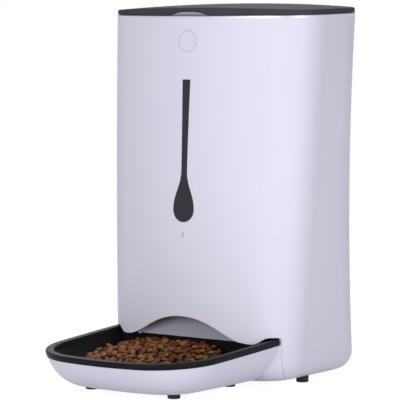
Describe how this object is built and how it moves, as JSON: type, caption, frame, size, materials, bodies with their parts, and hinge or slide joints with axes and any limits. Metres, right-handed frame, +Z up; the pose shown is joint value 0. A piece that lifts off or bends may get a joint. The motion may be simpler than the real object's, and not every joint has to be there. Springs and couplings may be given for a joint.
{
  "type": "automatic pet feeder",
  "caption": "Tall automatic dry-food feeder with a hinged lid over a hopper, a motor-driven rotor and chute, a level window and a slide-off bowl holder in front.",
  "frame": {"origin": "on the floor, midway between the bowl's front and the body's back, on the plane of symmetry of the body", "axes": "+Z up, -Y towards the bowl in front, +X to the feeder's left as seen from behind, which is the right in a front view"},
  "size_m": [0.235, 0.3108, 0.3625],
  "materials": {
    "shell": "gloss",
    "trim": "satin",
    "lid": "satin",
    "bowl": "satin",
    "window": "gloss",
    "lens": "gloss",
    "chute": "satin",
    "inner": "matte",
    "rotor": "satin",
    "gear": "satin",
    "rubber": "matte",
    "steel": "brushed",
    "brass": "satin",
    "board": "gloss",
    "key": "matte",
    "glass": "gloss",
    "black": "matte"
  },
  "bodies": {
    "housing": {"base_plate": "shell", "base_screws": "steel", "battery_box": "black", "battery_contacts": "steel", "body_feet": "rubber", "chute": "chute", "display_lens": "glass", "display_module": "black", "drop_sensors": "black", "gearbox_case": "inner", "hinge_bridge": "lid", "hinge_pin": "steel", "hopper": "inner", "hopper_seal": "rubber", "idler_axle": "steel", "indicator_lens": "lens", "level_window": "window", "lower_bush": "brass", "main_board": "board", "motor": "steel", "outer_shell": "shell", "outlet_guard": "rubber", "panel_board": "board", "panel_box": "inner", "panel_plate": "black", "power_jack": "black", "rotor_housing": "inner", "speaker": "black", "trim_ring": "trim", "upper_bush": "brass"},
    "lid": {"lid": "lid", "lid_seal": "rubber", "desiccant_case": "inner"},
    "tray": {"bowl_holder": "shell", "holder_feet": "rubber", "bowl": "bowl"},
    "release": {"lid_release": "shell"},
    "rotor": {"rotor": "rotor", "rotor_shaft": "steel", "output_gear": "gear"},
    "idler": {"idler_gear": "gear"},
    "pinion": {"motor_pinion": "brass", "motor_shaft": "steel"},
    "battery_door": {"battery_cover": "shell"},
    "set_button": {"set_button": "key"},
    "record_button": {"record_button": "key"},
    "up_button": {"up_button": "key"},
    "down_button": {"down_button": "key"},
    "feed_button": {"feed_button": "key"}
  },
  "joints": [
    {"name": "lid_hinge", "type": "hinge", "parent": "housing", "child": "lid", "pos_m": [0, 0.1224, 0.3568], "axis": [-1, 0, 0], "range_deg": [0, 95]},
    {"name": "lid_release_press", "type": "slide", "parent": "housing", "child": "release", "axis": [0, 1, 0], "range_m": [0, 0.0025], "stiffness_N_per_m": 500},
    {"name": "tray_slide", "type": "slide", "parent": "housing", "child": "tray", "axis": [0, -1, 0], "range_m": [0, 0.07]},
    {"name": "rotor_spin", "type": "hinge", "parent": "housing", "child": "rotor", "pos_m": [0, 0.06726, 0.11265], "axis": [0, 0, 1], "continuous": true},
    {"name": "idler_spin", "type": "hinge", "parent": "housing", "child": "idler", "pos_m": [0, 0.09726, 0.09774], "axis": [0, 0, 1], "continuous": true},
    {"name": "pinion_spin", "type": "hinge", "parent": "housing", "child": "pinion", "pos_m": [0.0255, 0.09726, 0.08815], "axis": [0, 0, 1], "continuous": true},
    {"name": "battery_cover_slide", "type": "slide", "parent": "housing", "child": "battery_door", "axis": [0, -1, 0], "range_m": [0, 0.008]},
    {"name": "set_button_press", "type": "slide", "parent": "housing", "child": "set_button", "axis": [0, 0.0262, -0.9997], "range_m": [0, 0.0012], "stiffness_N_per_m": 300},
    {"name": "record_button_press", "type": "slide", "parent": "housing", "child": "record_button", "axis": [0, 0.0262, -0.9997], "range_m": [0, 0.0012], "stiffness_N_per_m": 300},
    {"name": "up_button_press", "type": "slide", "parent": "housing", "child": "up_button", "axis": [0, 0.0262, -0.9997], "range_m": [0, 0.0012], "stiffness_N_per_m": 300},
    {"name": "down_button_press", "type": "slide", "parent": "housing", "child": "down_button", "axis": [0, 0.0262, -0.9997], "range_m": [0, 0.0012], "stiffness_N_per_m": 300},
    {"name": "feed_button_press", "type": "slide", "parent": "housing", "child": "feed_button", "axis": [0, 0.0262, -0.9997], "range_m": [0, 0.0012], "stiffness_N_per_m": 300}
  ],
  "couplings": [
    {"joint": "idler_spin", "follows": "rotor_spin", "ratio": -3},
    {"joint": "pinion_spin", "follows": "rotor_spin", "ratio": 7.2}
  ]
}
